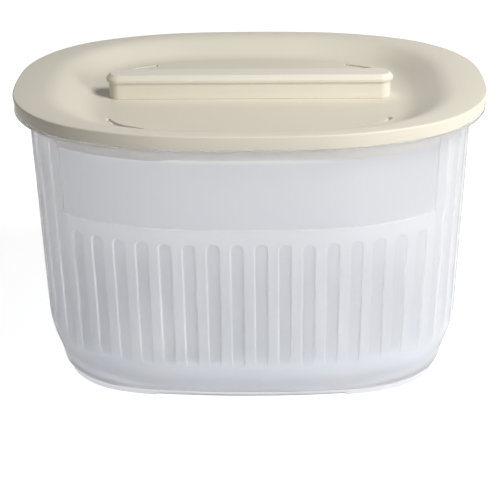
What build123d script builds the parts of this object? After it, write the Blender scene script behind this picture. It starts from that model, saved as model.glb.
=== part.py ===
from build123d import *
from math import asin, cos, degrees, pi, radians, sin, sqrt, tan
import os

# A microwave sterilizer, built at its real size in millimetres.
# X runs along its length, -Y is the front with the smooth panel, +Z is up.
# The origin is the middle of the footprint, on the surface that the feet stand on.

# Overall sizes
lid_length = 250.0            # end to end over the lid's edge
lid_depth = 170.0             # front to back over the lid's edge
lid_corner_radius = 66.5
lid_shoulder_radius = 143.0   # joins the corner to the flatter front and back
tub_height = 154.0            # feet to the top of the tub's flange, where the lid rests

# Tub wall
flange_overhang = 7.5         # from the wall out to the lid's edge
flange_thickness = 1.4
flange_setback = 0.5          # the flange's edge stays this far inside the lid's edge
flange_chamfer = 2.0          # strengthens the corner under the flange
wall_thickness = 2.0
draft = 1.05                  # degrees by which the wall leans in on its way down

# Rounded bottom and feet
curve_start = 37.0            # height where the wall starts to turn in
knee_radius = 64.0
knee_turn = 24.0              # degrees turned before the tighter arc takes over
toe_radius = 19.0
knee_steps = 3                # each round of a swept section is drawn as this many straight steps
toe_steps = 2
foot_height = 3.5
foot_ring_width = 2.4
foot_relief = 1.0             # the ring is lifted by this much between the four feet
foot_gap_length = 104.0       # width of the lifted stretch at the front and the back
foot_gap_depth = 52.0         # width of the lifted stretch at each end

# Smooth panels, front and back, and the flutes
panel_width = 191.0
panel_height = 43.0           # from the root of the flange down
panel_recess = 0.6
flute_count = 52              # all round the wall
panel_flutes = 16             # of these, under each panel
flute_width = 6.6
flute_depth = 0.9
flute_bottom = 18.0           # the flute runs out of the wall's curve above this
flute_top_steps = 4           # the round top of a short flute is drawn as this many straight steps
short_flute_gap = 8.4         # from the panel's lower edge down to the flutes under it
long_flute_gap = 4.1          # from the root of the flange down to the other flutes

# Lid
lid_edge_height = 7.5         # from the flange up to the rim plane
lid_thickness = 2.0
lid_edge_chamfer = 0.8
dish_length = 214.0           # across the dish where it leaves the flat rim
dish_depth = 160.0
dish_corner_radius = 63.4
dish_shoulder_radius = 122.8
dish_drop = 9.5               # rim plane down to the dish floor
dish_slope = 35.0             # degrees, at its steepest
dish_rim_round = 12.0
dish_floor_round = 13.0
dish_steps = 2
dish_under_steps = 1
skirt_depth = 16.0            # rim plane down to the skirt's lower edge
skirt_clearance = 0.6
skirt_thickness = 1.8
skirt_notch_length = 87.4     # stretch at the front and the back where the skirt stands back
skirt_notch_setback = 2.5
vent_width = 2.4
vent_inner_x = 46.0           # each slot runs between these two distances from the middle
vent_outer_x = 75.0

# Handle bar
bar_length = 148.0
bar_depth = 12.0
bar_corner = 5.0
bar_height = 8.5              # dish floor to the parting line
bar_wall = 2.0
grip_overhang = 1.6           # the grip cap stands proud of the bar on every side
grip_height = 4.7
grip_chamfer = 1.0
grip_groove = 0.5             # chamfer that makes the dark parting line
tenon_height = 2.6
grip_clearance = 0.3

# Bottle rack
rack_clearance = 1.5          # to the tub's inner wall
rack_thickness = 2.0
skirt_wall = 2.2              # across the rack's slanting skirt
deck_top = 28.0
seat_offset_x = 54.0
seat_offset_y = 34.0
seat_bore = 56.0              # takes the shoulder of a bottle that stands on its neck
slot_width = 4.5
slot_length = 22.0
slot_pitch = 9.0
loop_offset_x = 96.0
loop_width = 46.0
loop_height = 30.0
loop_bar = 5.0
loop_corner = 8.0
loop_thickness = 4.0
arch_height = 9.0             # notches in the skirt let the water through
arch_width = 22.0
arch_offset = 48.0

# Heights and places worked out from the sizes above
rim_plane = tub_height + lid_edge_height
flange_under = tub_height - flange_thickness
flange_root = flange_under - flange_chamfer
panel_bottom = flange_root - panel_height
short_flute_top = panel_bottom - short_flute_gap
long_flute_top = flange_root - long_flute_gap
dish_floor = rim_plane - dish_drop
bar_top = dish_floor + bar_height
deck_under = deck_top - rack_thickness
# the tighter arc of the bottom turns until it reaches the floor's underside
knee_end = radians(draft + knee_turn)
knee_end_z = curve_start - knee_radius * (sin(knee_end) - sin(radians(draft)))
toe_turn = degrees(asin(sin(knee_end) + (knee_end_z - foot_height) / toe_radius) - knee_end)
# a straight slope joins the two rounds of the dish
dish_rounds = dish_rim_round + dish_floor_round
dish_slope_length = (dish_drop - dish_rounds * (1 - cos(radians(dish_slope)))) / sin(radians(dish_slope))
dish_run = dish_rounds * sin(radians(dish_slope)) + dish_slope_length * cos(radians(dish_slope))

# Every oval has twelve tangent arcs. Each quarter turns from the end arc to the corner, the shoulder and
# the side arc where the edge has turned by these angles.
turns = (4.0, 64.0, 86.0)
# half length, half depth, corner radius, shoulder radius
lid_shape = (lid_length / 2, lid_depth / 2, lid_corner_radius, lid_shoulder_radius)
wall_shape = tuple(size - flange_overhang for size in lid_shape)
dish_shape = (dish_length / 2, dish_depth / 2, dish_corner_radius, dish_shoulder_radius)


def shrink(shape, inset):
    """The same oval, every arc moved inwards by inset."""
    return tuple(size - inset for size in shape)


def oval_wire(shape):
    """Closed oval of tangent arcs about the origin."""
    half_length, half_depth, corner, shoulder = shape
    first, second, third = (radians(turn) for turn in turns)
    # what the end and side arcs must cover gives their radii
    span_x = half_length - corner * (cos(first) - cos(second)) - shoulder * (cos(second) - cos(third))
    span_y = half_depth - corner * (sin(second) - sin(first)) - shoulder * (sin(third) - sin(second))
    scale = (1 - cos(first)) * (1 - sin(third)) - cos(third) * sin(first)
    end = (span_x * (1 - sin(third)) - span_y * cos(third)) / scale
    side = (span_y * (1 - cos(first)) - span_x * sin(first)) / scale
    radii = (end, corner, shoulder, side, shoulder, corner) * 2
    steps = (2 * first, second - first, third - second, pi - 2 * third, third - second, second - first) * 2
    angle = -first
    x = half_length - end * (1 - cos(first))
    y = -end * sin(first)
    arcs = []
    for radius, step in zip(radii, steps):
        path = [(x + radius * (cos(angle + step * share) - cos(angle)),
                 y + radius * (sin(angle + step * share) - sin(angle))) for share in (0, 0.5, 1)]
        arcs.append(ThreePointArc(*path))
        x, y = path[-1]
        angle += step
    return Wire(arcs)


def oval(z, shape, inset=0.0):
    """Flat oval face at height z."""
    return Pos(0, 0, z) * make_face(oval_wire(shrink(shape, inset)))


def carry_round(section, shape):
    """Sweep a section, drawn as (outwards, upwards), round an oval."""
    path = oval_wire(shape)
    tangent = path % 0
    start = Plane(path @ 0, x_dir=tangent.cross(Vector(0, 0, 1)), z_dir=-tangent)
    return sweep(start * section, path)


def wall_offset(z, depth=0.0):
    """How far the straight wall stands out from its outline under the flange at height z."""
    return (z - flange_under) * tan(radians(draft)) - depth


def rounded(start, heading, radius, turn, steps):
    """Points after start along an arc, in steps, and the heading at its end."""
    points = []
    point = Vector(*start)
    for step in range(steps):
        heading += turn / steps / 2
        chord = 2 * radius * sin(radians(abs(turn) / steps / 2))
        point = point + Vector(cos(radians(heading)), sin(radians(heading))) * chord
        heading += turn / steps / 2
        points.append(point)
    return points, heading


def wall_line(depth, top):
    """Profile of the wall from the top to the foot, depth inside its outer face."""
    lean = radians(draft)
    turning = Vector(wall_offset(curve_start) - depth * cos(lean), curve_start + depth * sin(lean))
    upper = Vector(turning.X + (top - turning.Y) * tan(lean), top)
    knee, heading = rounded(turning, 270 - draft, knee_radius - depth, -knee_turn, knee_steps)
    toe, _ = rounded(knee[-1], heading, toe_radius - depth, -toe_turn, toe_steps)
    return [upper, turning] + knee + toe


def knee_inset(z, depth):
    """How far the curved part of the wall lies inside the wall's outline at height z."""
    lean = radians(draft)
    fall = curve_start + knee_radius * sin(lean) - z
    return knee_radius * cos(lean) - wall_offset(curve_start) - sqrt((knee_radius - depth) ** 2 - fall ** 2)


def rim_inset(depth):
    """How far the inner side of the standing rim lies inside the wall's outline."""
    return foot_ring_width - wall_line(depth, tub_height)[-1].X


def wall_band(outer_depth, inner_depth, foot):
    """Section between two depths inside the wall's outer face, with a flat rim to stand on."""
    outer = wall_line(outer_depth, tub_height)
    inner = wall_line(inner_depth, tub_height)
    heel = outer[-1].X
    rim_inner = -rim_inset(outer_depth)
    rim = [(heel, foot), (rim_inner, foot), (rim_inner, inner[-1].Y)]
    return make_face(Polyline(*outer, *rim, *reversed(inner), close=True))


def slab(z0, z1, size_x=2 * lid_length, size_y=2 * lid_depth, x=0.0, y=0.0):
    """Plain block between two heights, used to cut or keep a stretch."""
    return Pos(x, y, (z0 + z1) / 2) * Box(size_x, size_y, z1 - z0)


def flute_cutters():
    """One slot-shaped cutter for each flute, square to the wall and leaning with it."""
    middle_z = (flute_bottom + short_flute_top) / 2
    line = oval_wire(shrink(wall_shape, -wall_offset(middle_z)))
    pitch = line.length / flute_count
    quarter = flute_count / 4
    first = line.param_at_point((wall_shape[0] + wall_offset(middle_z), 0, 0)) * line.length
    cutters = []
    for index in range(flute_count):
        steps_from_end = (index + 0.5) % (flute_count / 2)
        under_panel = abs(steps_from_end - quarter) < panel_flutes / 2
        top = short_flute_top if under_panel else long_flute_top
        distance = (first + (index + 0.5) * pitch) % line.length
        place = line.position_at(distance, position_mode=PositionMode.LENGTH)
        along = line.tangent_at(distance, position_mode=PositionMode.LENGTH)
        out = Vector(along.Y, -along.X, -tan(radians(draft))).normalized()
        plane = Plane(Vector(place.X, place.Y, middle_z), x_dir=along, z_dir=out)
        low = flute_bottom - middle_z
        high = top - middle_z - flute_width / 2
        start = Vector(flute_width / 2, high)
        tip = rounded(start, 90, flute_width / 2, 180, flute_top_steps)[0] if under_panel else []
        base = [(-flute_width / 2, low), (flute_width / 2, low)]
        shape = make_face(Polyline(*base, start, *(tip or [(-flute_width / 2, high)]), close=True))
        cutters.append(extrude(plane * shape, 4.0) + extrude(plane * shape, -flute_depth))
    return cutters


def panel_cutter():
    """Thin skin taken off the wall above the flutes, at the front and the back."""
    low = wall_offset(panel_bottom, panel_recess)
    high = wall_offset(flange_root, panel_recess)
    skin = Polyline((low, panel_bottom), (high, flange_root), (flange_overhang, flange_root),
                    (flange_overhang, panel_bottom), close=True)
    return carry_round(make_face(skin), wall_shape) & slab(panel_bottom - 1, flange_under, size_x=panel_width)


tub_floor = wall_line(wall_thickness, tub_height)[-1].Y


def make_tub():
    """Wall with its flange and standing rim swept in one go, floor, flutes and panels."""
    edge = flange_overhang - flange_setback
    flange = make_face(Polyline((-wall_thickness / 2, flange_root), (wall_offset(flange_root), flange_root),
                                (flange_chamfer, flange_under), (edge, flange_under), (edge, tub_height),
                                (-wall_thickness / 2, tub_height), close=True))
    tub = carry_round(wall_band(0.0, wall_thickness, 0.0) + flange, wall_shape)
    tub += extrude(oval(foot_height, wall_shape, rim_inset(0.0)), tub_floor - foot_height)
    tub -= slab(-1, foot_relief, size_x=foot_gap_length)
    tub -= slab(-1, foot_relief, size_y=foot_gap_depth)
    tub -= panel_cutter()
    return tub - flute_cutters()


def dish_line(depth, steps):
    """Profile of the dish from its rim to its floor, depth below its upper face."""
    start = Vector(0, rim_plane - depth)
    edge, heading = rounded(start, 180, dish_rim_round - depth, dish_slope, steps)
    slope_end = edge[-1] + Vector(-cos(radians(dish_slope)), -sin(radians(dish_slope))) * dish_slope_length
    corner, _ = rounded(slope_end, heading, dish_floor_round + depth, -dish_slope, steps)
    return [start] + edge + [slope_end] + corner


def rounded_bar(z, length, depth, corner):
    return Pos(0, 0, z) * RectangleRounded(length, depth, corner)


def skirt_outline(inset, notch_inset, notch_length):
    """Skirt outline that stands back in the middle of the front and the back."""
    notch = Rectangle(notch_length, 2 * lid_depth) - oval(0, lid_shape, notch_inset)
    return oval(0, lid_shape, inset) - notch


def make_lid():
    plate = extrude(oval(tub_height, lid_shape), lid_edge_height)
    plate = chamfer(plate.faces().sort_by(Axis.Z)[-1].edges(), lid_edge_chamfer)
    plate -= extrude(oval(tub_height - 1, lid_shape, lid_thickness), 1 + lid_edge_height - lid_thickness)

    inset = flange_overhang + wall_thickness + skirt_clearance
    notched = inset + skirt_notch_setback
    skirt = skirt_outline(inset, notched, skirt_notch_length)
    skirt -= skirt_outline(inset + skirt_thickness, notched + skirt_thickness,
                           skirt_notch_length + 2 * skirt_thickness)
    skirt_bottom = rim_plane - skirt_depth
    lid = plate + extrude(Pos(0, 0, skirt_bottom) * skirt, skirt_depth - lid_thickness / 2)
    upper = dish_line(0.0, dish_steps)
    above = Polyline(*upper, (-dish_run, rim_plane), close=True)
    lid -= carry_round(make_face(above), dish_shape)
    lid -= extrude(oval(dish_floor, dish_shape, dish_run), dish_drop)
    bowl = Polyline(*upper, *reversed(dish_line(lid_thickness, dish_under_steps)), close=True)
    lid += carry_round(make_face(bowl), dish_shape)
    lid += extrude(oval(dish_floor - lid_thickness, dish_shape, dish_run), lid_thickness)

    bar = extrude(rounded_bar(dish_floor - lid_thickness, bar_length, bar_depth, bar_corner),
                  bar_height + lid_thickness)
    lid += bar
    tenon_length = bar_length - 2 * bar_wall
    tenon_depth = bar_depth - 2 * bar_wall
    tenon_corner = bar_corner - bar_wall
    lid += extrude(rounded_bar(bar_top, tenon_length, tenon_depth, tenon_corner), tenon_height)
    hollow = rounded_bar(dish_floor - lid_thickness - 1, tenon_length, tenon_depth, tenon_corner)
    lid -= extrude(hollow, 1 + lid_thickness + bar_height - bar_wall)

    vent = oval(0, dish_shape, dish_run - vent_width / 2) - oval(0, dish_shape, dish_run + vent_width / 2)
    ring = extrude(Pos(0, 0, dish_floor - lid_thickness - 1) * vent, 2 * dish_drop)
    keep_x = (vent_inner_x + vent_outer_x) / 2
    for side in (-1, 1):
        window = slab(0, 2 * rim_plane, size_x=vent_outer_x - vent_inner_x, x=side * keep_x)
        lid -= ring & window
    return lid


def make_grip_cap():
    length = bar_length + 2 * grip_overhang
    depth = bar_depth + 2 * grip_overhang
    corner = bar_corner + grip_overhang
    cap = extrude(rounded_bar(bar_top, length, depth, corner), grip_height)
    cap = chamfer(cap.faces().sort_by(Axis.Z)[-1].edges(), grip_chamfer)
    cap = chamfer(cap.faces().sort_by(Axis.Z)[0].edges(), grip_groove)
    gap = grip_clearance
    mortise = rounded_bar(bar_top, bar_length - 2 * bar_wall + 2 * gap, bar_depth - 2 * bar_wall + 2 * gap,
                          bar_corner - bar_wall + gap)
    return cap - extrude(mortise, tenon_height + gap)


def lift_loop(side):
    """Upright finger loop at one end of the rack."""
    frame = chamfer(Rectangle(loop_width, 2 * loop_height).vertices(), loop_corner)
    window = Rectangle(loop_width - 2 * loop_bar, 2 * (loop_height - loop_bar))
    frame -= chamfer(window.vertices(), loop_corner - loop_bar / 2)
    plane = Plane((side * loop_offset_x - loop_thickness / 2, 0, deck_top), x_dir=(0, 1, 0), z_dir=(1, 0, 0))
    return extrude(plane * frame, loop_thickness) & slab(deck_top - rack_thickness / 2, rim_plane)


def steam_slot(x, y, turn=0.0):
    return extrude(Pos(x, y, deck_under - 1) * Rot(0, 0, turn) * SlotOverall(slot_length, slot_width),
                   rack_thickness + 2)


def make_bottle_rack():
    offset = wall_thickness + rack_clearance
    foot = wall_line(offset, tub_height)[-1].X
    edge = -knee_inset(deck_under, offset)
    skirt = Polyline((foot, tub_floor), (edge, deck_under), (edge, deck_top), (edge - skirt_wall, deck_top),
                     (edge - skirt_wall, deck_under), (foot - skirt_wall, tub_floor), close=True)
    rack = carry_round(make_face(skirt), wall_shape)
    rack += extrude(oval(deck_under, wall_shape, skirt_wall - edge), rack_thickness)
    for x in (-arch_offset, 0, arch_offset):
        rack -= slab(0, tub_floor + arch_height, size_x=arch_width, x=x)
    rack -= slab(0, tub_floor + arch_height, size_y=arch_width)

    for x in (-seat_offset_x, seat_offset_x):
        for y in (-seat_offset_y, seat_offset_y):
            rack -= extrude(Pos(x, y, deck_under - 1) * Circle(seat_bore / 2), rack_thickness + 2)
    for side in (-1, 1):
        rack += lift_loop(side)
        rack -= steam_slot(side * (loop_offset_x - slot_pitch), 0, turn=90)
    for row in (-1, 0, 1):
        rack -= steam_slot(0, row * slot_pitch)
    return rack


os.makedirs("parts", exist_ok=True)
pieces = {
    "tub": make_tub(),
    "lid": make_lid(),
    "grip_cap": make_grip_cap(),
    "bottle_rack": make_bottle_rack(),
}
for name, piece in pieces.items():
    export_step(piece, "parts/" + name + ".step")
    print(name, len(piece.solids()), round(piece.volume))
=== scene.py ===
# %% [markdown]
# # A steam sterilizer of frosted plastic
# The real object is a tub of milky, see-through plastic with upright flutes, a cream-coloured lid with a
# shallow dish, a long bar across the dish for lifting it, and a rack for bottles inside. The measured model
# comes in first. It gives every piece its place, and the pieces below give it its fine shapes and finishes.
# %% Load the measured model
from math import cos, pi, radians, sin

import bmesh
import bpy
import numpy as np
from mathutils import Matrix, Vector


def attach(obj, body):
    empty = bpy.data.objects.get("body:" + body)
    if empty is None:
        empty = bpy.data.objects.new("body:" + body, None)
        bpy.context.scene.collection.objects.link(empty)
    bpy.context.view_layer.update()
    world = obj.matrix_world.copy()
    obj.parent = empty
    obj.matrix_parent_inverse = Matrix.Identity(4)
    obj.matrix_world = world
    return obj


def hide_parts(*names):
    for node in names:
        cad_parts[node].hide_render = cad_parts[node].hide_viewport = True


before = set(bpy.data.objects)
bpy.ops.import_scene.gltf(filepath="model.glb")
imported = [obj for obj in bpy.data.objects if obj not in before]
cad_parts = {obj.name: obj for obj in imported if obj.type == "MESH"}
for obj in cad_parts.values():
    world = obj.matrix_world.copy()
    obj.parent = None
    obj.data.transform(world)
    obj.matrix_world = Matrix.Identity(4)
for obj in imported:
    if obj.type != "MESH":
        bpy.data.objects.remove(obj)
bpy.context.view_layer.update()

MM = 0.001                      # sizes below are in millimetres, Blender's in metres
print("nodes", sorted(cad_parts))

# %% [markdown]
# Tub, lid and dish are all ovals of the same kind: twelve arcs that run smoothly into each other. A point on
# such an oval is named by the direction that the edge faces there, so a point of one oval and the point of
# another that faces the same way lie side by side. That makes it easy to stretch a skin between ovals. A
# scaled circle would be simpler, but its ends would come out too pointed for this object.
# %% Ovals of tangent arcs
TURNS = np.radians([4.0, 64.0, 86.0])                   # where end, corner, shoulder and side arc meet
QUARTER_TURNS = np.concatenate([[0.0], TURNS, [pi / 2]])
LID_SHAPE = np.array([125.0, 85.0, 66.5, 143.0])        # half length, half depth, corner, shoulder
WALL_BACK = 7.5                 # the wall of the tub stands back this far from the edge of the lid
WALL_SHAPE = LID_SHAPE - WALL_BACK
DISH_SHAPE = np.array([109.5, 80.5, 60.0, 122.8])


def quarter_arcs(shape):
    """Radii and centres of the four arcs of the first quarter."""
    half_length, half_depth, corner, shoulder = shape
    a, b, c = TURNS
    span_x = half_length - corner * (cos(a) - cos(b)) - shoulder * (cos(b) - cos(c))
    span_y = half_depth - corner * (sin(b) - sin(a)) - shoulder * (sin(c) - sin(b))
    scale = (1 - cos(a)) * (1 - sin(c)) - cos(c) * sin(a)
    end = (span_x * (1 - sin(c)) - span_y * cos(c)) / scale
    side = (span_y * (1 - cos(a)) - span_x * sin(a)) / scale
    radii = [end, corner, shoulder, side]
    centres = [np.array([half_length - end, 0.0])]
    for turn, before, after in zip(TURNS, radii, radii[1:]):
        way = np.array([cos(turn), sin(turn)])
        centres.append(centres[-1] + (before - after) * way)
    return np.array(radii), np.array(centres)


print("radii of the lid's arcs", [round(float(radius)) for radius in quarter_arcs(LID_SHAPE)[0]], "mm")

# %% [markdown]
# The direction that the edge faces picks the arc, and then the point on that arc. One quarter is enough,
# because the other three are its mirror images. Lengths along the edge are wanted too: the flutes are spaced
# evenly along the wall, not by direction.
# %% Points of an oval
ON_AXIS = 1e-12                 # counts a direction right along an axis as on its positive side


def outwards(facing):
    """Unit vectors in the directions that an edge faces, in radians."""
    return np.stack([np.cos(facing), np.sin(facing)], 1)


def oval(shape, facing):
    """Points of the oval whose edge faces these directions."""
    radii, centres = quarter_arcs(shape)
    folded = np.arcsin(np.abs(np.sin(facing)))
    which = np.searchsorted(TURNS, folded)
    x = centres[which, 0] + radii[which] * np.cos(folded)
    y = centres[which, 1] + radii[which] * np.sin(folded)
    return np.stack([x, y], 1) * np.sign(outwards(facing) + ON_AXIS)


def arc_lengths(shape):
    """Lengths of the four arcs of the first quarter."""
    radii, _ = quarter_arcs(shape)
    return radii * np.diff(QUARTER_TURNS)


def way_round(shape):
    """Length of the whole oval."""
    return 4 * float(np.sum(arc_lengths(shape)))


def facing_at(shape, distances):
    """Directions that the edge faces at distances along it from the right end."""
    quarter = np.concatenate([[0.0], np.cumsum(arc_lengths(shape))])
    angles = np.concatenate([QUARTER_TURNS, pi - QUARTER_TURNS[-2::-1]])
    lengths = np.concatenate([quarter, 2 * quarter[-1] - quarter[-2::-1]])
    turns, rest = np.divmod(distances, lengths[-1])
    return np.interp(rest, lengths, angles) + turns * pi


print("round the tub", round(way_round(WALL_SHAPE)), "mm")

# %% [markdown]
# Every fine piece here is a stack of rings with a skin between them. A modifier that spins one line would be
# simpler, but it only makes round things. The rings run from the middle of the underside round to the middle
# of the top. The first and the last one are closed with a fan of triangles, or joined to each other where
# the piece is a hoop.
# %% Faces between rings
def bands(count, around, join_ends):
    """Four-sided faces between each ring and the next."""
    row = np.arange(around)
    after = (row + 1) % around
    faces = []
    for k in range(count if join_ends else count - 1):
        low = k * around
        high = (k + 1) % count * around
        faces.append(np.stack([low + row, low + after, high + after, high + row], 1))
    return np.concatenate(faces).tolist()


def fans(rings):
    """Middles of the first and the last ring, and the triangles that run from there to the ring."""
    count, around = rings.shape[:2]
    middle = count * around
    top = middle - around
    faces = [[middle, (k + 1) % around, k] for k in range(around)]
    faces += [[middle + 1, top + k, top + (k + 1) % around] for k in range(around)]
    return [rings[0].mean(0), rings[-1].mean(0)], faces


print("two rings of four points have", len(bands(2, 4, False)), "faces between them")

# %% [markdown]
# With the faces listed, one helper makes every piece. Points that fall together are merged, all faces are
# turned outwards, and the shading is smooth except at a crease, where two faces meet at a sharp angle.
# %% Make a piece from its rings
CREASE = 35.0                   # an edge stays sharp from this many degrees
SAME_POINT = 1e-6               # points nearer than this are one, in metres
# the marks: painted shade, painted highlight, and how clear the wall is
MARKS = ("painted_shade", "painted_highlight", "clear")


def store_marks(mesh, marks, count):
    """Keep the marks as attributes of the mesh; the two middles at the end have none."""
    values = np.asarray(marks, float).reshape(-1, len(MARKS))
    values = np.concatenate([values, np.zeros((count - len(values), len(MARKS)))])
    for column, mark in enumerate(MARKS):
        layer = mesh.attributes.new(mark, "FLOAT", "POINT")
        layer.data.foreach_set("value", values[:, column].astype(np.float32))


def skin(name, rings, join_ends=False, crease=CREASE, marks=None):
    """Mesh through rings of equal length, given as rows of x, y, z in millimetres.

    Marks hold three values for each point, a painted shade, a painted highlight and how clear the wall is,
    that the finish can read.
    """
    rings = np.asarray(rings, float)
    points = rings.reshape(-1, 3)
    faces = bands(*rings.shape[:2], join_ends)
    if not join_ends:
        middles, triangles = fans(rings)
        points = np.concatenate([points, middles])
        faces += triangles
    mesh = bpy.data.meshes.new(name)
    mesh.from_pydata((points * MM).tolist(), [], faces)
    if marks is not None:
        store_marks(mesh, marks, len(points))
    build = bmesh.new()
    build.from_mesh(mesh)
    bmesh.ops.remove_doubles(build, verts=build.verts, dist=SAME_POINT)
    bmesh.ops.recalc_face_normals(build, faces=build.faces)
    build.to_mesh(mesh)
    build.free()
    mesh.shade_smooth()
    mesh.set_sharp_from_angle(angle=radians(crease))
    piece = bpy.data.objects.new(name, mesh)
    bpy.context.scene.collection.objects.link(piece)
    print(name, len(mesh.polygons), "faces")
    return piece


# %% [markdown]
# The rings come from a profile: a line of points, each so far outwards and so far up, that is carried round
# an oval. The round parts of a profile are arcs. A flat part needs no profile, because the last ring can
# shrink towards the middle until a small fan closes it.
# %% Rings from a profile
def at_height(points, z):
    """Ring of x, y points lifted to height z."""
    return np.column_stack([points, np.broadcast_to(z, len(points))])


def arc(start, heading, radius, turn, steps):
    """Points after start along an arc, and the heading at its end, in degrees."""
    points = []
    x, z = start
    for _ in range(steps):
        heading += turn / steps / 2
        chord = 2 * radius * sin(radians(abs(turn) / steps / 2))
        x += chord * cos(radians(heading))
        z += chord * sin(radians(heading))
        heading += turn / steps / 2
        points.append((x, z))
    return points, heading


def rings_round(shape, facing, profile):
    """One ring for each (outwards, up) point of a profile that follows an oval."""
    edge = oval(shape, facing)
    return [at_height(edge + u * outwards(facing), z) for u, z in profile]


def towards_middle(ring, shares):
    """Rings that shrink towards the middle of an oval, to carry a flat skin inwards."""
    made = []
    for share in shares:
        inner = ring.copy()
        inner[:, :2] *= share
        made.append(inner)
    return made


print("arc of 90 degrees ends at", [round(v, 3) for v in arc((0.0, 0.0), 0.0, 1.0, 90.0, 9)[0][-1]])

# %% [markdown]
# The tub's wall leans in by about one degree, turns in through a wide arc and then a tighter one, and ends
# in a low ring that it stands on. The same line, two millimetres further in, is its inner face.
# %% Profile of the wall
TUB_HEIGHT = 154.0
FLANGE_UNDER = 152.6
LEAN = 1.05                     # degrees
CURVE_START = 37.0
KNEE_RADIUS, KNEE_TURN, KNEE_STEPS = 64.0, 24.0, 22
TOE_RADIUS, TOE_STEPS = 19.0, 8
FOOT_HEIGHT = 3.5
WALL = 2.0


def lean_at(z):
    """How far out the straight wall is at height z, from its outline under the flange."""
    return (z - FLANGE_UNDER) * np.tan(radians(LEAN))


def wall_profile(depth, heights):
    """Wall points at these heights and then down both arcs, depth inside the outer face."""
    lean = radians(LEAN)
    start = (lean_at(CURVE_START) - depth * cos(lean), CURVE_START + depth * sin(lean))
    straight = [(start[0] + (z - start[1]) * np.tan(lean), z) for z in heights]
    knee, heading = arc(start, 270 - LEAN, KNEE_RADIUS - depth, -KNEE_TURN, KNEE_STEPS)
    end = radians(LEAN + KNEE_TURN)
    end_z = CURVE_START - KNEE_RADIUS * (sin(end) - sin(lean))
    toe_turn = np.degrees(np.arcsin(sin(end) + (end_z - FOOT_HEIGHT) / TOE_RADIUS) - end)
    toe, _ = arc(knee[-1], heading, TOE_RADIUS - depth, -toe_turn, TOE_STEPS)
    return straight + [start] + knee + toe


print("the wall ends", round(-wall_profile(0.0, [])[-1][0], 1), "mm inside its outline under the flange")

# %% [markdown]
# Fifty-two flutes run round the wall. Under the smooth panels at the front and the back they are short, and
# at the ends they run up almost to the flange. Both kinds end in a round tip. Cutting each one out of the
# wall would leave ragged edges in a soft material, so here the wall itself is pushed in: every point of a
# fine grid asks how deep it lies inside a flute or a panel, and moves inwards by that much. The grid is
# finest along the edges of the flutes.
# %% Stations round the wall
FLUTES = 52
PANEL_FLUTES = 16               # short ones under each panel
PANEL_HALF = 95.5
FLUTE_MIDDLE_HEIGHT = 59.5
FLUTE_MIDDLE = WALL_SHAPE + lean_at(FLUTE_MIDDLE_HEIGHT)
PITCH = way_round(FLUTE_MIDDLE) / FLUTES
QUARTER = FLUTES / 4 * PITCH
ACROSS_FLUTE = np.array([0, 0.8, 1.5, 2.1, 2.6, 2.9, 3.1, 3.3, 3.5, 3.75, 4.2, 5.2])
ACROSS_BORDER = np.array([-0.5, -0.25, 0.0, 0.25, 0.5])
FINE_STEPS = 4000               # for looking up a place on an oval


def distance_to(half_width):
    """How far along the wall from its right end its half width falls to this value."""
    distances = np.linspace(0, QUARTER, FINE_STEPS)
    x = oval(FLUTE_MIDDLE, facing_at(FLUTE_MIDDLE, distances))[:, 0]
    return float(np.interp(-half_width, -x, distances))


def tub_stations(border):
    """Distances round the wall, close together at the edges of flutes and panels."""
    across = np.concatenate([-ACROSS_FLUTE[:0:-1], ACROSS_FLUTE])
    middles = (np.arange(FLUTES) + 0.5) * PITCH
    places = (middles[:, None] + across[None, :]).ravel()
    borders = (border, 2 * QUARTER - border, 2 * QUARTER + border, 4 * QUARTER - border)
    extra = [place + ACROSS_BORDER for place in borders]
    return np.unique(np.round(np.concatenate([places] + extra), 3))


panel_border = distance_to(PANEL_HALF)
stations = tub_stations(panel_border)
tub_facing = facing_at(FLUTE_MIDDLE, stations)
from_end = np.abs((stations + QUARTER) % (2 * QUARTER) - QUARTER)      # distance to the nearest end
from_middle = QUARTER - from_end                                       # distance to the panel's middle
across_flute = np.abs(stations % PITCH - PITCH / 2)
short = from_middle < PANEL_FLUTES / 2 * PITCH
print(len(stations), "stations, flute pitch", round(PITCH, 2), "mm")

# %% [markdown]
# How deep a point lies in a flute follows from its distance to the flute's middle line, and to the middle of
# the round tip above it. The edge of each flute and panel is a soft step less than a millimetre wide. The
# same distances tell where the wall is thin, which the finish darkens as painted shade, and where a moulded
# rim runs, which it brightens as a painted highlight.
# %% How far each point of the wall is pushed in
FLUTE_HALF = 3.3
FLUTE_DEPTH = 0.9
FLUTE_EDGE = 0.7
SHORT_TOP, LONG_TOP = 99.2, 146.5
TIP_POWER = 2.6                 # a little squarer than the half circle of a power of 2
PANEL_BOTTOM = 107.6
PANEL_DEPTH = 0.6
PANEL_EDGE = 0.5
# painted shade of a flute, as a share of the full painted shade of a panel
FLUTE_SHADE = 0.4                # a flute looks this much thinner, where a panel looks thinner in full
# painted highlight: how far it reaches on either side of a moulded rim
HIGHLIGHT_REACH = 0.75                # a moulded rim looks brighter over this many millimetres


def ease(value):
    """Smooth step from 0 to 1."""
    value = np.clip(value, 0.0, 1.0)
    return value * value * (3 - 2 * value)


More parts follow.
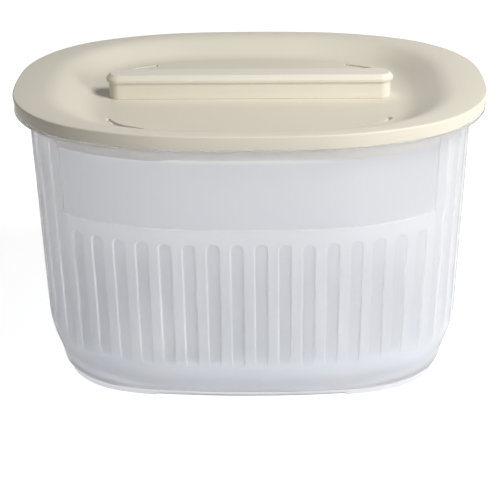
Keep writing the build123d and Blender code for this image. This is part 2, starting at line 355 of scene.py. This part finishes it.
def pushed_in(z):
    """Depth at height z all round the wall, the painted shade where the wall is thin, and the painted
    highlight near a rim.
    """
    top = np.where(short, SHORT_TOP, LONG_TOP) - FLUTE_HALF
    over = np.maximum(z - top, 0.0)
    outside = (across_flute ** TIP_POWER + over ** TIP_POWER) ** (1 / TIP_POWER) - FLUTE_HALF
    inside_panel = np.minimum(from_end - panel_border, z - PANEL_BOTTOM)
    flute = ease(0.5 - outside / FLUTE_EDGE)
    panel = ease(0.5 + inside_panel / PANEL_EDGE)
    near_flute = ease(1.0 - np.abs(outside) / HIGHLIGHT_REACH)
    near_panel = ease(1.0 - np.abs(inside_panel) / HIGHLIGHT_REACH)
    push = FLUTE_DEPTH * flute + PANEL_DEPTH * panel
    return push, np.maximum(FLUTE_SHADE * flute, panel), np.maximum(near_flute, near_panel)


print("deepest push at half height", round(float(pushed_in(TUB_HEIGHT / 2)[0].max()), 2), "mm")

# %% [markdown]
# Every point of the tub keeps three marks for the finish: painted shade where the wall is thin, a painted
# highlight near a rim, and how clear it is. The wall is clearest at the top, where the skirt of the lid shows
# through it, and a painted highlight brightens it there, where the lid's shade falls. The foot gets the same
# painted shade as the thin places. Marks kept in the mesh follow its shape exactly, which a painted picture
# would not.
# %% Marks that depend on height
# painted shade low on the wall and on the foot: its strength and where it fades out
LOW_SHADE, LOW_FROM, LOW_REACH = 0.9, 21.0, 8.0
CLEAR_FROM, CLEAR_REACH = 128.0, 14.0
BRIGHT_FROM, BRIGHT_REACH = 143.0, 3.0


def low_at(z):
    """How strongly the painted shade of the foot shows at height z."""
    return LOW_SHADE * float(ease((LOW_FROM - z) / LOW_REACH))


def clear_at(z):
    """The uppermost part of the wall is clear enough to show the skirt of the lid behind it."""
    return float(ease((z - CLEAR_FROM) / CLEAR_REACH))


def bright_at(z):
    """Painted highlight: the wall is made brighter in front of the skirt, where the lid's shade falls."""
    return float(ease((z - BRIGHT_FROM) / BRIGHT_REACH))


print("clear mark under the flange", clear_at(FLANGE_UNDER), "and at half height", clear_at(TUB_HEIGHT / 2))

# %% [markdown]
# The outer face of the wall is a ring at each of these heights, closest together at the tips of the flutes
# and at the lower edge of the panel. Flutes run out where the wall curves away from them, so a point that
# has curved in further than the flute is deep stays put. The foot is squarer at its corners than the wall.
# %% Rings of the fluted wall
FOOT_FULL, FULL_FROM = 4.2, 16.0
CORNER_FROM, CORNER_RISE = 4.0, 30.0            # degrees that the corner of the foot faces
CORNER_TO, CORNER_FALL = 86.0, 24.0
LONG_TIPS = list(np.arange(146.9, 142.6, -0.4))
PANEL_EDGES = [109, 108.5, 108.1, 107.8, 107.6, 107.4, 107.1, 106.7, 106]
SHORT_TIPS = list(np.arange(100.2, 95.0, -0.33))
WALL_HEIGHTS = ([148.0, 147.4] + LONG_TIPS + [142.0, 136, 130, 124, 118, 112] + PANEL_EDGES
                + [104, 101] + SHORT_TIPS + [94.0, 88, 80, 72, 64, 56, 48, 42])
NO_DEPTH = 1e-6                 # keeps a share of nothing from being divided by zero


def fuller_at(z):
    """How far the corners of the foot stand out at height z."""
    folded = np.degrees(np.arcsin(np.abs(np.sin(tub_facing))))
    corner = ease((folded - CORNER_FROM) / CORNER_RISE) * ease((CORNER_TO - folded) / CORNER_FALL)
    return FOOT_FULL * corner * float(ease((FULL_FROM - z) / (FULL_FROM - FOOT_HEIGHT)))


def fluted_rings():
    """Rings down the outer face of the wall, their marks, and where the last one ends."""
    edge = oval(WALL_SHAPE, tub_facing)
    rings, looks = [], []
    profile = wall_profile(0.0, WALL_HEIGHTS)
    for u, z in profile:
        curved_in = max(float(lean_at(z)) - u, 0.0)
        depth, painted_shade, painted_highlight = pushed_in(z)
        push = np.maximum(depth - curved_in, 0.0)
        left = push / np.maximum(depth, NO_DEPTH)
        away = u - push + fuller_at(z)
        rings.append(at_height(edge + away[:, None] * outwards(tub_facing), z))
        # painted shade in the flutes, the panels and the foot
        toned = np.maximum(painted_shade * left, low_at(z))
        clear = np.maximum(toned, clear_at(z))
        # painted highlight at the rims of flutes and panels, and at the top of the wall
        bright = np.maximum(painted_highlight * ease(1.0 - curved_in / FLUTE_DEPTH), bright_at(z))
        looks.append(np.stack([toned * (1.0 - bright_at(z)), bright, clear], 1))
    return rings, looks, profile[-1][0]


print(len(WALL_HEIGHTS), "heights down the straight wall")

# %% [markdown]
# Below the wall the tub stands on a low ring, which is lifted a little between the four feet at its corners.
# Above the wall a thin flange turns outwards for the lid to rest on, with a small hollow round under it.
# %% Foot and flange
FLANGE_OUT = 7.3                # nearly flush with the edge of the lid above it
FLANGE_CHAMFER = 0.2
COVE_ROUND, COVE_TURN, COVE_STEPS = 1.2, 88, 5          # hollow round from the flange into the wall
FOOT_PROFILE = ((0.0, 3.0), (0.0, 0.5), (-0.15, 0.15), (-0.5, 0.0), (-1.9, 0.0), (-2.25, 0.15), (-2.4, 0.5),
                (-2.4, FOOT_HEIGHT))
BETWEEN_X, BETWEEN_Y = 52.0, 26.0               # the ring is lifted this near to its two middle lines
FOOT_LIFT, FOOT_STEP = 1.0, 1.5


def foot_ring(heel):
    """Foot ring from its outer to its inner side, lifted between the feet."""
    edge = oval(WALL_SHAPE, tub_facing)
    rings = []
    for u, z in FOOT_PROFILE:
        away = heel + u + fuller_at(z)
        rings.append(at_height(edge + away[:, None] * outwards(tub_facing), z))
    for ring in rings[1:-1]:
        gap = np.maximum(BETWEEN_X - np.abs(ring[:, 0]), BETWEEN_Y - np.abs(ring[:, 1]))
        ring[:, 2] += FOOT_LIFT * ease(0.5 + gap / FOOT_STEP)
    return rings


def flange_profile():
    """From the top of the inner face over the flange and through the hollow round below it."""
    cove, _ = arc((COVE_ROUND, FLANGE_UNDER), 180, COVE_ROUND, COVE_TURN, COVE_STEPS)
    return [(-WALL, TUB_HEIGHT),
            (FLANGE_OUT - FLANGE_CHAMFER, TUB_HEIGHT),
            (FLANGE_OUT, TUB_HEIGHT - FLANGE_CHAMFER),
            (FLANGE_OUT, FLANGE_UNDER + FLANGE_CHAMFER),
            (FLANGE_OUT - FLANGE_CHAMFER, FLANGE_UNDER),
            (COVE_ROUND, FLANGE_UNDER)] + cove


print("flange", round(TUB_HEIGHT - FLANGE_UNDER, 1), "mm thick")

# %% [markdown]
# The tub is now one closed skin: from the middle of its underside out to the foot ring, up the fluted wall,
# round the flange, and down the inner face to the floor. The flange gets the same painted highlight as a rim.
# %% Build the tub
# painted highlight on the flange, as strong as at a rim
FLANGE_HIGHLIGHT = 1.0
INNER_HEIGHTS = [153.0, 146.0, 143.0, 128.0, 80.0]


def build_tub():
    inner = rings_round(WALL_SHAPE, tub_facing, wall_profile(WALL, INNER_HEIGHTS)[::-1])
    floor = towards_middle(inner[0], [0.3, 0.6, 0.9, 0.98])
    flange = rings_round(WALL_SHAPE, tub_facing, flange_profile())
    outer, looks, heel = fluted_rings()
    foot = foot_ring(heel)
    under = towards_middle(foot[-1], [0.85, 0.6, 0.3])
    plain = np.zeros((len(tub_facing), len(MARKS)))
    marks = [plain] * len(floor)
    # the inner face gets the painted highlight at its top, and is clear there
    marks += [plain + [0.0, bright_at(ring[0, 2]), clear_at(ring[0, 2])] for ring in inner]
    marks += [plain + [0.0, FLANGE_HIGHLIGHT, 0.0]] * len(flange)
    marks += looks
    # the foot ring gets the full painted shade
    marks += [plain + [LOW_SHADE, 0.0, LOW_SHADE]] * len(foot)
    marks += [plain] * len(under)
    return skin("frosted_tub", floor + inner + flange + outer + foot + under, marks=marks)


tub = build_tub()

# %% [markdown]
# The lid is a plate with a rounded edge and a dish in it. Between the flat rim and the floor of the dish the
# surface follows a soft S: over a convex round, down a straight slope and out of a concave round. The S is
# drawn out towards the two ends, where the slope is gentler.
# %% Profile of the dish
RIM_PLANE = 161.5
DISH_DROP = 9.3
DISH_FLOOR = RIM_PLANE - DISH_DROP
DISH_SLOPE = 35.0               # degrees
END_STRETCH, END_POWER = 0.48, 3
RIM_ROUND, FLOOR_ROUND, ROUND_STEPS = 12.0, 13.0, 9


def dish_profile(depth):
    """The S from the rim down to the floor, depth below the upper face."""
    slope = radians(DISH_SLOPE)
    rounds = RIM_ROUND + FLOOR_ROUND
    run = (DISH_DROP - rounds * (1 - cos(slope))) / sin(slope)
    start = (0.0, RIM_PLANE - depth)
    edge, heading = arc(start, 180, RIM_ROUND - depth, DISH_SLOPE, ROUND_STEPS)
    x, z = edge[-1]
    line = [(x - run * share * cos(slope), z - run * share * sin(slope)) for share in (0.33, 0.67, 1.0)]
    corner, _ = arc(line[-1], heading, FLOOR_ROUND + depth, -DISH_SLOPE, ROUND_STEPS)
    return [start] + edge + line + corner


def slope_stretch(facing):
    """How much gentler the slope of the dish is where its edge faces this way: most at the two ends."""
    return 1 + END_STRETCH * np.abs(np.cos(facing)) ** END_POWER


def dish_rings(facing, depth):
    """Rings of the S all round the dish, depth below the upper face."""
    edge = oval(DISH_SHAPE, facing)
    out = outwards(facing) * slope_stretch(facing)[:, None]
    return [at_height(edge + u * out, z) for u, z in dish_profile(depth)]


print("the slope ends", round(-dish_profile(0.0)[-1][0], 1), "mm inside the dish's outline at the front")

# %% [markdown]
# The plate is one skin again: its underside runs two millimetres below the upper face, down the dish and out
# to the rim, and then the edge leads up to the upper face. The edge has a small round at the top and a fine
# chamfer at the bottom, since a perfectly sharp edge never catches the light.
# %% Build the dished plate
LID_BOTTOM = 154.0
LID_THICKNESS = 2.0
LID_STATIONS = 360
EDGE_ROUND, EDGE_STEPS = 0.8, 6
EDGE_CHAMFER = 0.35
EDGE_DRAWN_IN = 0.6             # the edge leans in towards its lower side
lid_facing = facing_at(LID_SHAPE, np.linspace(0, way_round(LID_SHAPE), LID_STATIONS + 1)[:-1])


def edge_profile():
    """Up the edge of the lid, from its lower side over the small round at the top."""
    edge_round, _ = arc((0.0, RIM_PLANE - EDGE_ROUND), 90, EDGE_ROUND, 90, EDGE_STEPS)
    return [(-LID_THICKNESS, LID_BOTTOM),
            (-EDGE_DRAWN_IN - EDGE_CHAMFER, LID_BOTTOM),
            (-EDGE_DRAWN_IN, LID_BOTTOM + EDGE_CHAMFER),
            (0.0, RIM_PLANE - EDGE_ROUND)] + edge_round


def build_lid_plate():
    upper = rings_round(LID_SHAPE, lid_facing, edge_profile())
    dish = dish_rings(lid_facing, 0.0)
    floor = towards_middle(dish[-1], [0.97, 0.9, 0.75, 0.55, 0.3, 0.1])
    under_dish = dish_rings(lid_facing, LID_THICKNESS)
    under_floor = towards_middle(under_dish[-1], [0.1, 0.3, 0.55, 0.75, 0.9])
    under_rim = rings_round(LID_SHAPE, lid_facing, [(-LID_THICKNESS, RIM_PLANE - LID_THICKNESS)])
    return skin("lid_plate", under_floor + under_dish[::-1] + under_rim + upper + dish + floor)


lid_plate = build_lid_plate()

# %% [markdown]
# Four narrow steam slots follow the edge of the dish floor. They go right through, so they are cut out with
# a boolean modifier: each cutter is a short bent bar along the floor's edge. The modifier is applied at
# once, so what is left is a plain mesh.
# %% Cut the steam slots
SLOT_WIDTH = 2.9
SLOT_INSET = 2.6
SLOT_FROM, SLOT_TO = 53.0, 73.0                 # distances from the lid's short middle line
SLOT_STATIONS = 24
SEARCH_FROM, SEARCH_STEPS = 0.05, 400           # for finding the ends of a slot, in radians
CUT_FROM, CUT_TO = 140.0, 170.0                 # heights, well past both faces of the floor
DISH_RUN = -dish_profile(0.0)[-1][0]            # how far the S runs inwards


def floor_line(facing):
    """Middle line of the slots, just inside the edge of the dish's floor."""
    inwards = DISH_RUN * slope_stretch(facing) + SLOT_INSET
    return oval(DISH_SHAPE, facing) - inwards[:, None] * outwards(facing)


def slot_cutter(side, front):
    """Bent bar through one slot; side and front are 1 or -1."""
    fine = np.linspace(SEARCH_FROM, pi / 2, SEARCH_STEPS)
    x = floor_line(fine)[:, 0]
    kept = fine[(x > SLOT_FROM) & (x < SLOT_TO)]
    facing = np.linspace(kept[0], kept[-1], SLOT_STATIONS)
    line = floor_line(facing)
    out = outwards(facing) * SLOT_WIDTH / 2
    turn = np.array([side, front])
    edges = []
    for sign, z in ((-1, CUT_FROM), (-1, CUT_TO), (1, CUT_TO), (1, CUT_FROM)):
        edges.append(at_height((line + sign * out) * turn, z))
    return skin("slot_cutter", np.transpose(np.array(edges), (1, 0, 2)))


def keep_result(piece):
    """Bake a piece's modifiers into its mesh."""
    mesh = bpy.data.meshes.new_from_object(piece.evaluated_get(bpy.context.evaluated_depsgraph_get()))
    piece.modifiers.clear()
    piece.data = mesh
    mesh.set_sharp_from_angle(angle=radians(CREASE))


def cut_slots():
    for side in (-1, 1):
        for front in (-1, 1):
            cutter = slot_cutter(side, front)
            cut = lid_plate.modifiers.new("slot", "BOOLEAN")
            cut.object = cutter
            cut.solver = "EXACT"
            keep_result(lid_plate)
            bpy.data.objects.remove(cutter)
    print("lid plate with slots", len(lid_plate.data.polygons), "faces")


cut_slots()

# %% [markdown]
# The skirt hangs down inside the tub and keeps the lid in place. It stands back a little along the middle of
# the front and the back, with a small step at each end of that stretch. It is a hoop: its upper ring follows
# the slope of the dish and ends inside the plate, so no gap can open between the two.
# %% Build the skirt
SKIRT_INSET = 10.1
SKIRT_THICKNESS = 1.8
SKIRT_BOTTOM = 143.9
SKIRT_CHAMFER = 0.4
SKIRT_INTO_PLATE = 1.0
NOTCH_HALF = 43.7
NOTCH_SETBACK = 2.5
NOTCH_EDGE = 0.8
ACROSS_STEP = np.array([-0.0015, -0.0005, 0.0005, 0.0015])      # radians on both sides of a step
SKIRT_PROFILE = ((0.0, None),                                   # None stands for the slope of the dish
                 (0.0, SKIRT_BOTTOM + SKIRT_CHAMFER),
                 (SKIRT_CHAMFER, SKIRT_BOTTOM),
                 (SKIRT_THICKNESS - SKIRT_CHAMFER, SKIRT_BOTTOM),
                 (SKIRT_THICKNESS, SKIRT_BOTTOM + SKIRT_CHAMFER),
                 (SKIRT_THICKNESS, None))


def skirt_facing():
    """Directions round the skirt, close together at its four small steps."""
    fine = np.linspace(0, pi / 2, FINE_STEPS)
    x = oval(LID_SHAPE, fine)[:, 0]
    step = float(np.interp(-NOTCH_HALF, -x, fine))
    extra = [place + ACROSS_STEP for place in (step, pi - step, pi + step, 2 * pi - step)]
    return np.unique(np.concatenate([lid_facing] + extra))


def height_in_plate(place, facing):
    """Height at which a point of the skirt ends inside the plate, under the slope of the dish."""
    s_curve = np.array(dish_profile(0.0))
    inside = np.sum((oval(DISH_SHAPE, facing) - place) * outwards(facing), 1) / slope_stretch(facing)
    return np.interp(inside, -s_curve[:, 0], s_curve[:, 1]) - SKIRT_INTO_PLATE


def build_skirt():
    facing = skirt_facing()
    edge = oval(LID_SHAPE, facing)
    back = NOTCH_SETBACK * ease(0.5 + (NOTCH_HALF - np.abs(edge[:, 0])) / NOTCH_EDGE)
    rings = []
    for depth, z in SKIRT_PROFILE:
        place = edge - (SKIRT_INSET + back + depth)[:, None] * outwards(facing)
        rings.append(at_height(place, height_in_plate(place, facing) if z is None else z))
    return skin("lid_skirt", rings, join_ends=True)


lid_skirt = build_skirt()

# %% [markdown]
# The handle is a hollow bar that rises from the dish floor, with a cap of the same plastic that stands
# slightly proud of it. Both are a rounded rectangle carried upwards. The bar's sides lean back a little, as
# they must to leave a mould, and a fine groove runs round its foot. A bevel runs round the top of the cap,
# and its lower edge is chamfered, which draws the dark line between cap and bar.
# %% Build the handle
BAR_LENGTH, BAR_DEPTH, BAR_CORNER = 151.0, 12.4, 6.0
BAR_TOP = 161.2
BAR_DEEPER = 0.7                # extra at the bar's front and back, where the cap stands out less
BAR_DRAFT = 1.5                 # degrees that the sides of the bar lean back
ROOT_GROOVE = 0.4               # fine groove where the bar meets the floor
ROOT_DEPTH = 0.5                # the bar ends this far inside the plate
CAP_TOP = 165.2
CAP_PROUD = 1.2
CAP_BEVEL, BEVEL_DROP = 2.2, 2.2
CAP_GROOVE = 0.4
CAP_CREASE = 20.0
SOFT = 0.1                      # small offsets that soften a corner
CLOSED_IN = 2.0                 # flat ends are closed from this far inside
BAR_CORNER_STEPS = 11


def bar_ring(grow, z, deeper=0.0):
    """Rounded rectangle of the bar, made larger by grow on every side, and deeper at front and back."""
    corner = BAR_CORNER + grow
    half_x = BAR_LENGTH / 2 + grow - corner
    half_y = BAR_DEPTH / 2 + grow - corner + deeper
    turn = np.linspace(0, pi / 2, BAR_CORNER_STEPS)
    points = []
    for index, (side, front) in enumerate(((1, 1), (-1, 1), (-1, -1), (1, -1))):
        middle = np.array([side * half_x, front * half_y])
        points.append(middle + corner * outwards(turn + index * pi / 2))
    return at_height(np.concatenate(points), z)


def build_bar():
    lean = (BAR_TOP - DISH_FLOOR) * np.tan(radians(BAR_DRAFT))
    foot = DISH_FLOOR + ROOT_GROOVE
    root = DISH_FLOOR - ROOT_DEPTH
    side = [(-CLOSED_IN, BAR_TOP), (-lean, BAR_TOP),
            (-SOFT, foot + SOFT), (-2 * SOFT, foot), (-ROOT_GROOVE, foot - SOFT),
            (-ROOT_GROOVE, root), (-CLOSED_IN, root)]
    return skin("handle_bar", [bar_ring(u, z, BAR_DEEPER) for u, z in side])


def build_cap():
    groove_top = BAR_TOP + CAP_GROOVE
    shoulder = CAP_TOP - BEVEL_DROP
    side = [(-CLOSED_IN, BAR_TOP), (CAP_PROUD - CAP_GROOVE, BAR_TOP),
            (CAP_PROUD - SOFT, groove_top - SOFT), (CAP_PROUD, groove_top + SOFT),
            (CAP_PROUD, shoulder - 3 * SOFT), (CAP_PROUD - 1.5 * SOFT, shoulder + SOFT),
            (CAP_PROUD - CAP_BEVEL, CAP_TOP), (-CLOSED_IN, CAP_TOP)]
    return skin("handle_cap", [bar_ring(u, z) for u, z in side], crease=CAP_CREASE)


handle_bar = build_bar()
handle_cap = build_cap()

# %% [markdown]
# All the plastic here comes out of moulds with a finely etched surface. That shows as a very small grain,
# and over a hand's width the tone wanders by a percent or two. Both effects are wanted in every material, so
# they are one node group, placed in each material with its own values.
# %% Shared node group: moulded plastic
def add_math(nodes, operation):
    node = nodes.new("ShaderNodeMath")
    node.operation = operation
    return node


def moulded_group():
    """Group that gives a colour which wanders a little, and the height of a fine grain."""
    group = bpy.data.node_groups.new("moulded_plastic", "ShaderNodeTree")
    for name, default in (("Grain Scale", 900.0), ("Wander Scale", 14.0), ("Wander", 0.03)):
        socket = group.interface.new_socket(name, in_out="INPUT", socket_type="NodeSocketFloat")
        socket.default_value = default
    group.interface.new_socket("Color", in_out="INPUT", socket_type="NodeSocketColor")
    for name, kind in (("Color", "NodeSocketColor"), ("Grain", "NodeSocketFloat")):
        group.interface.new_socket(name, in_out="OUTPUT", socket_type=kind)
    nodes, links = group.nodes, group.links
    start = nodes.new("NodeGroupInput")
    end = nodes.new("NodeGroupOutput")
    place = nodes.new("ShaderNodeTexCoord")
    grain = nodes.new("ShaderNodeTexNoise")
    grain.inputs["Detail"].default_value = 2.0
    wander = nodes.new("ShaderNodeTexNoise")
    wander.inputs["Detail"].default_value = 1.0
    links.new(place.outputs["Object"], grain.inputs["Vector"])
    links.new(place.outputs["Object"], wander.inputs["Vector"])
    links.new(start.outputs["Grain Scale"], grain.inputs["Scale"])
    links.new(start.outputs["Wander Scale"], wander.inputs["Scale"])
    centred = add_math(nodes, "SUBTRACT")
    centred.inputs[1].default_value = 0.5
    links.new(wander.outputs["Fac"], centred.inputs[0])
    amount = add_math(nodes, "MULTIPLY_ADD")
    amount.inputs[2].default_value = 1.0
    links.new(centred.outputs[0], amount.inputs[0])
    links.new(start.outputs["Wander"], amount.inputs[1])
    tone = nodes.new("ShaderNodeVectorMath")
    tone.operation = "SCALE"
    links.new(start.outputs["Color"], tone.inputs[0])
    links.new(amount.outputs[0], tone.inputs["Scale"])
    links.new(tone.outputs[0], end.inputs["Color"])
    links.new(grain.outputs["Fac"], end.inputs["Grain"])
    print("group", group.name, len(nodes), "nodes")
    return group


MOULDED = moulded_group()

# %% [markdown]
# The cream plastic of lid and handle is solid and satin, and the thin skirt of the lid lets a little light
# through. The tub is the same kind of plastic without pigment: it scatters light on its way through, so near
# things show through it softly and far ones not at all. Rough transmission gives exactly that.
# %% Finishes
GRAIN_HEIGHT = 0.0001           # metres
CLOUDY, CLEAR = 0.6, 0.28       # roughness of the wall, and of its clear part


def plastic(name, color, roughness, grain_scale, bump, wander, **sockets):
    """Principled plastic with the shared grain; other sockets are given by name."""
    material = bpy.data.materials.new(name)
    material.use_nodes = True
    nodes, links = material.node_tree.nodes, material.node_tree.links
    shader = nodes["Principled BSDF"]
    group = nodes.new("ShaderNodeGroup")
    group.node_tree = MOULDED
    group.inputs["Grain Scale"].default_value = grain_scale
    group.inputs["Wander"].default_value = wander
    group.inputs["Color"].default_value = (*color, 1.0)
    relief = nodes.new("ShaderNodeBump")
    relief.inputs["Strength"].default_value = bump
    relief.inputs["Distance"].default_value = GRAIN_HEIGHT
    links.new(group.outputs["Color"], shader.inputs["Base Color"])
    links.new(group.outputs["Grain"], relief.inputs["Height"])
    links.new(relief.outputs["Normal"], shader.inputs["Normal"])
    shader.inputs["Roughness"].default_value = roughness
    for socket, value in sockets.items():
        shader.inputs[socket.replace("_", " ")].default_value = value
    print("finish", name)
    return material


lid_finish = plastic("cream_lid", (0.75, 0.70, 0.59), roughness=0.45, grain_scale=1500.0, bump=0.25,
                     wander=0.04, Specular_IOR_Level=0.3)
# The handle's cream is a little lighter than the lid's: painted light, for the brighter front of the bar.
handle_finish = plastic("cream_handle", (0.80, 0.754, 0.645), roughness=0.45, grain_scale=1500.0, bump=0.25,
                        wander=0.04, Specular_IOR_Level=0.3)
# The skirt's cream is much paler than the lid's: painted light that lifts the band seen through the wall
# under the lid, which lies in the lid's shade.
skirt_finish = plastic("cream_skirt", (0.93, 0.91, 0.86), roughness=0.5, grain_scale=1500.0, bump=0.25,
                       wander=0.04, Transmission_Weight=0.35)
rack_finish = plastic("rack_blue", (0.70, 0.75, 0.82), roughness=0.5, grain_scale=1500.0, bump=0.2,
                      wander=0.04)
tub_finish = plastic("frosted_wall", (0.917, 0.921, 0.937), roughness=CLOUDY, grain_scale=1200.0, bump=0.25,
                     wander=0.03, Transmission_Weight=0.76, IOR=1.33)

# %% [markdown]
# The marks of the tub's mesh come in here: painted shade darkens the thin places and the foot, a painted
# highlight brightens the rims, the flange and the top of the wall, and where the wall is marked as clear it
# is less rough, so it blurs less. An attribute node reads each mark.
# %% The tub's marks in its finish
def read_mark(nodes, mark):
    """Socket that gives the value of a mark all over the mesh."""
    where = nodes.new("ShaderNodeAttribute")
    where.attribute_name = mark
    return where.outputs["Fac"]


def tint_by_marks(material, tints):
    """Scale the colour where the mesh marks it: each mark names a colour that it multiplies in."""
    nodes, links = material.node_tree.nodes, material.node_tree.links
    into = nodes["Principled BSDF"].inputs["Base Color"]
    color = into.links[0].from_socket
    for mark, tint in tints.items():
        blend = nodes.new("ShaderNodeMix")
        blend.data_type = "RGBA"
        blend.blend_type = "MULTIPLY"
        links.new(read_mark(nodes, mark), blend.inputs["Factor"])
        links.new(color, blend.inputs["A"])
        blend.inputs["B"].default_value = (*tint, 1.0)
        color = blend.outputs["Result"]
    links.new(color, into)


def clearer_where_marked(material, cloudy, clear):
    """Roughness of the wall runs from cloudy to clear as the mark says."""
    nodes, links = material.node_tree.nodes, material.node_tree.links
    blur = nodes.new("ShaderNodeMapRange")
    blur.inputs["To Min"].default_value = cloudy
    blur.inputs["To Max"].default_value = clear
    links.new(read_mark(nodes, "clear"), blur.inputs["Value"])
    links.new(blur.outputs["Result"], nodes["Principled BSDF"].inputs["Roughness"])


# painted shade in the thin places and the foot, painted highlight at the rims
tint_by_marks(tub_finish, {"painted_shade": (0.865, 0.87, 0.88), "painted_highlight": (1.09, 1.08, 1.06)})
clearer_where_marked(tub_finish, CLOUDY, CLEAR)
for piece, finish in ((tub, tub_finish), (lid_plate, lid_finish), (lid_skirt, skirt_finish),
                      (handle_bar, handle_finish), (handle_cap, handle_finish)):
    piece.data.materials.clear()
    piece.data.materials.append(finish)
    print(piece.name, "wears", finish.name)
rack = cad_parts["bottle_rack"]
for slot in rack.material_slots:
    slot.material = rack_finish

# %% [markdown]
# Each fine piece now takes the place of its measured piece and moves with the same body. The rack stays as
# the measured model has it, because it only shows as a soft shadow.
# %% Put the pieces on their bodies
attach(tub, "tub")
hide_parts("tub")
for piece in (lid_plate, lid_skirt, handle_bar):
    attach(piece, "lid")
    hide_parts("lid")
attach(handle_cap, "lid")
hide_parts("grip_cap")
print("bodies tub and lid carry their fine pieces")

# %% [markdown]
# The floor is a plain pale sheet. To the eye it is lifted to white, as in a product picture, while a soft
# shadow stays under the object. More light would whiten it too, but would bleach the object.
# %% Floor
FLOOR_HALF = 6.0                # metres
FLOOR_LIFT = 0.84
WHITE = (1.0, 1.0, 1.0, 1.0)


def looking_rays(nodes, links):
    """Socket that is 1 for rays by which the eye sees something, straight, mirrored or through plastic."""
    path = nodes.new("ShaderNodeLightPath")
    so_far = path.outputs["Is Camera Ray"]
    for kind in ("Is Glossy Ray", "Is Transmission Ray"):
        either = add_math(nodes, "MAXIMUM")
        links.new(so_far, either.inputs[0])
        links.new(path.outputs[kind], either.inputs[1])
        so_far = either.outputs[0]
    return so_far


def white_floor():
    mesh = bpy.data.meshes.new("floor")
    corners = [(x * FLOOR_HALF, y * FLOOR_HALF, 0) for x, y in ((-1, -1), (1, -1), (1, 1), (-1, 1))]
    mesh.from_pydata(corners, [], [(0, 1, 2, 3)])
    floor = bpy.data.objects.new("floor", mesh)
    bpy.context.scene.collection.objects.link(floor)
    material = bpy.data.materials.new("white_floor")
    material.use_nodes = True
    nodes, links = material.node_tree.nodes, material.node_tree.links
    shader = nodes["Principled BSDF"]
    shader.inputs["Base Color"].default_value = (0.88, 0.88, 0.88, 1.0)
    shader.inputs["Roughness"].default_value = 0.9
    shader.inputs["Specular IOR Level"].default_value = 0.0
    shader.inputs["Emission Color"].default_value = WHITE
    seen = add_math(nodes, "MULTIPLY")
    seen.inputs[1].default_value = FLOOR_LIFT
    links.new(looking_rays(nodes, links), seen.inputs[0])
    links.new(seen.outputs[0], shader.inputs["Emission Strength"])
    mesh.materials.append(material)


white_floor()
print("floor", 2 * FLOOR_HALF, "m wide")

# %% [markdown]
# The world is white to the eye in the same way, but it gives little light, so the lamps shape the object.
# %% World
WORLD_LIGHT = 0.12


def pale_world():
    world = bpy.data.worlds.new("studio")
    bpy.context.scene.world = world
    world.use_nodes = True
    nodes, links = world.node_tree.nodes, world.node_tree.links
    nodes.clear()
    light = nodes.new("ShaderNodeBackground")
    light.inputs["Color"].default_value = WHITE
    light.inputs["Strength"].default_value = WORLD_LIGHT
    seen = nodes.new("ShaderNodeBackground")
    seen.inputs["Color"].default_value = WHITE
    mix = nodes.new("ShaderNodeMixShader")
    end = nodes.new("ShaderNodeOutputWorld")
    links.new(looking_rays(nodes, links), mix.inputs["Fac"])
    links.new(light.outputs[0], mix.inputs[1])
    links.new(seen.outputs[0], mix.inputs[2])
    links.new(mix.outputs[0], end.inputs["Surface"])


pale_world()
bpy.context.scene.view_settings.view_transform = "Standard"
print("world light", WORLD_LIGHT)

# %% [markdown]
# Two small lamps stand close by at the front right, one low and one halfway up, so the right-hand part of the
# edge and the slope of the dish that faces it are the brightest. They are near enough for the light to fall
# off across the object, and the surroundings are dark, so the shadow beside the handle stays deep.
# %% Lamps
LAMP_DISTANCE, LAMP_SIZE = 1.0, 0.28            # metres
LAMP_AIM = Vector((0.0, 0.0, 0.1))


def seen_from(azimuth, elevation):
    """Unit vector that points this way: azimuth to the right of the front, elevation above the floor."""
    a, e = radians(azimuth), radians(elevation)
    return Vector((sin(a) * cos(e), -cos(a) * cos(e), sin(e)))


def soft_lamp(name, azimuth, elevation, power):
    """Square lamp that stands azimuth degrees to the right of the front."""
    light = bpy.data.lights.new(name, "AREA")
    light.shape = "SQUARE"
    light.size = LAMP_SIZE
    light.energy = power
    lamp = bpy.data.objects.new(name, light)
    bpy.context.scene.collection.objects.link(lamp)
    away = seen_from(azimuth, elevation)
    lamp.location = LAMP_AIM + LAMP_DISTANCE * away
    lamp.rotation_euler = away.to_track_quat("Z", "Y").to_euler()
    print(name, "at", [round(v, 2) for v in lamp.location], power, "W")


soft_lamp("low_lamp", azimuth=48.0, elevation=18.0, power=3.3)
soft_lamp("high_lamp", azimuth=55.0, elevation=50.0, power=6.9)

# %% [markdown]
# The camera looks down on the object by about twenty-five degrees from a little right of the front, through
# a long lens. Its tilt and roll are small corrections that bring the outline to where the photograph has it.
# %% Camera
AZIMUTH, ELEVATION, DISTANCE = 1.0, 25.003, 0.74044
AIM = Vector((0.0, 0.0, 0.08))
PAN, TILT, ROLL = 0.072, 1.460, -0.672
FOCAL_PIXELS, IMAGE_WIDTH = 1315.1, 500


def add_camera():
    data = bpy.data.cameras.new("camera")
    data.sensor_width = 36.0
    data.lens = FOCAL_PIXELS * data.sensor_width / IMAGE_WIDTH
    camera = bpy.data.objects.new("camera", data)
    bpy.context.scene.collection.objects.link(camera)
    back = seen_from(AZIMUTH + PAN, ELEVATION + TILT)
    turn = radians(AZIMUTH + PAN)
    right = Vector((cos(turn), sin(turn), 0.0))
    up = back.cross(right)
    roll = radians(ROLL)
    level = right * cos(roll) + up * sin(roll)
    upright = up * cos(roll) - right * sin(roll)
    place = AIM + DISTANCE * seen_from(AZIMUTH, ELEVATION)
    camera.matrix_world = Matrix((level, upright, back)).transposed().to_4x4()
    camera.location = place
    bpy.context.scene.camera = camera
    print("camera at", [round(v, 3) for v in place], "lens", round(data.lens, 1))


add_camera()
